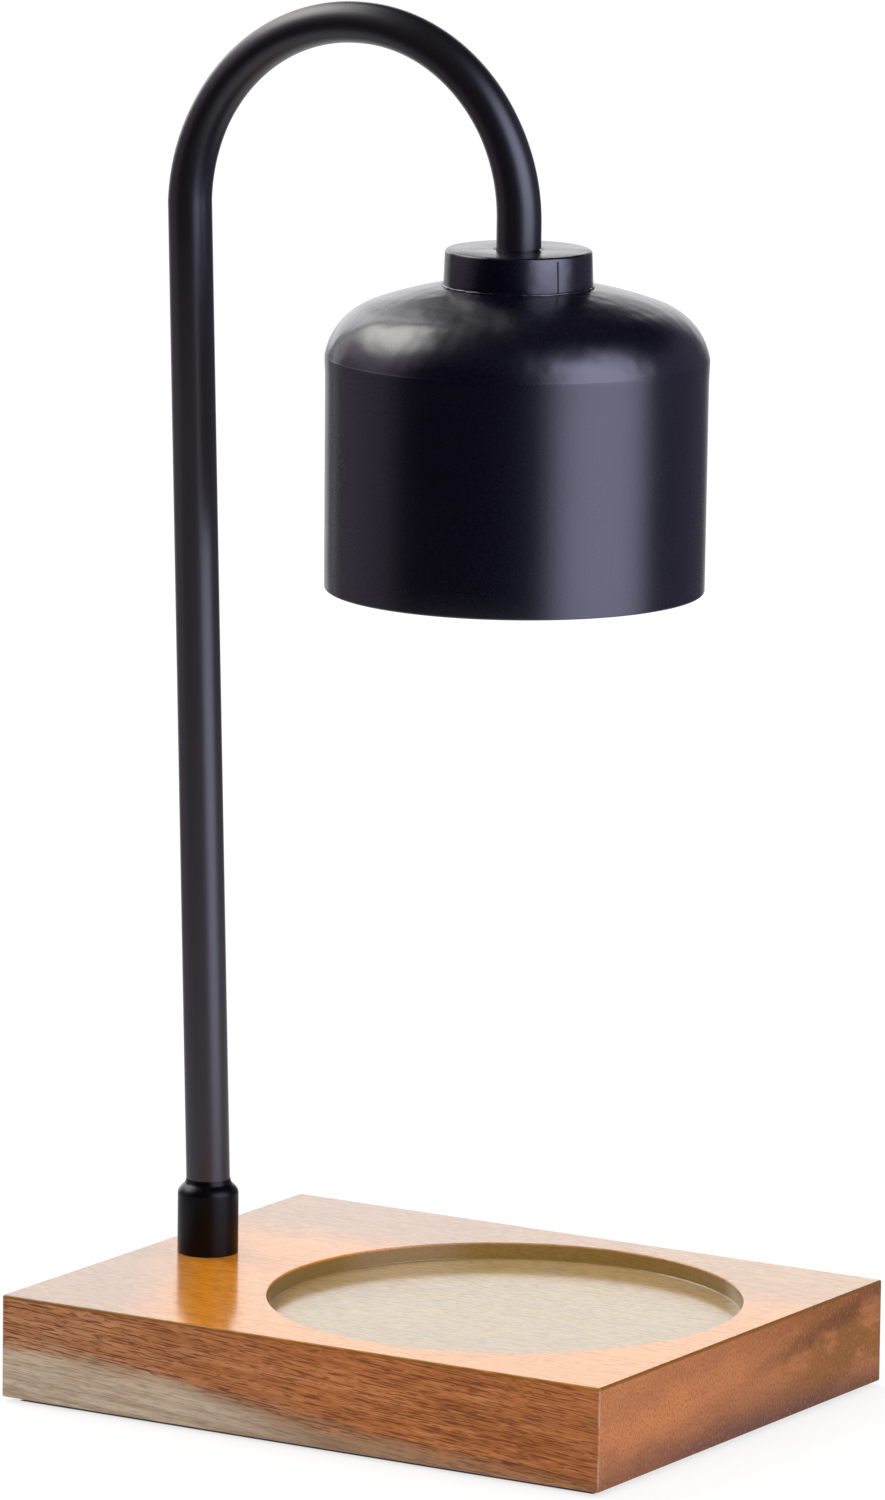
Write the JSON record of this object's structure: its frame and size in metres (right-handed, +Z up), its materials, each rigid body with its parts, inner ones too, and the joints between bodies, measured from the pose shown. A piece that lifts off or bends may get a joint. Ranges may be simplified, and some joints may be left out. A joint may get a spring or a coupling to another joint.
{
  "type": "candle warmer lamp",
  "caption": "Table lamp that warms a jar candle from above: wooden base with a round recess, bent tube stand, hanging domed shade and a twist-in reflector bulb.",
  "frame": {"origin": "middle of the base's footprint, on the plane that the feet stand on", "axes": "+Z up; +X along the base's long side, from the stand to the candle end; +Y to the back, where the cord leaves"},
  "size_m": [0.164, 0.1316, 0.33],
  "materials": {
    "wood": "gloss lacquer over hardwood",
    "black_coat": "satin black powder coat on steel",
    "black_plastic": "moulded black plastic",
    "rubber": "soft black rubber",
    "zinc": "bright zinc plate",
    "ceramic": "unglazed white ceramic",
    "brass": "plain brass",
    "lead_sleeve": "heat-proof sleeve",
    "mirror_glass": "aluminised glass",
    "clear_glass": "clear glass"
  },
  "bodies": {
    "stand": {"base_block": "wood", "collar": "black_coat", "arch_tube": "black_coat", "neck_cap": "black_coat", "shade": "black_coat", "base_cover": "black_plastic", "crimp_1": "black_plastic", "crimp_2": "black_plastic", "foot_1": "rubber", "foot_2": "rubber", "foot_3": "rubber", "foot_4": "rubber", "cord_grommet": "rubber", "cover_screw_1": "zinc", "cover_screw_2": "zinc", "cover_screw_3": "zinc", "cover_screw_4": "zinc", "foot_washer": "zinc", "foot_lock_washer": "zinc", "foot_nut": "zinc", "head_lock_washer": "zinc", "head_nut": "zinc", "holder_bracket": "zinc", "holder_screw_1": "zinc", "holder_screw_2": "zinc", "holder_nut_1": "zinc", "holder_nut_2": "zinc", "lamp_holder": "ceramic", "holder_contact_1": "brass", "holder_contact_2": "brass", "lead_1": "lead_sleeve", "lead_2": "lead_sleeve"},
    "bulb": {"bulb_base": "ceramic", "bulb_pin_1": "brass", "bulb_pin_2": "brass", "bulb_reflector": "mirror_glass", "bulb_lens": "clear_glass", "bulb_capsule": "clear_glass"}
  },
  "joints": [
    {"name": "bulb_twist", "type": "hinge", "parent": "stand", "child": "bulb", "pos_m": [0.01679, 0, 0.24], "axis": [0, 0, 1], "range_deg": [-22, 0]}
  ]
}
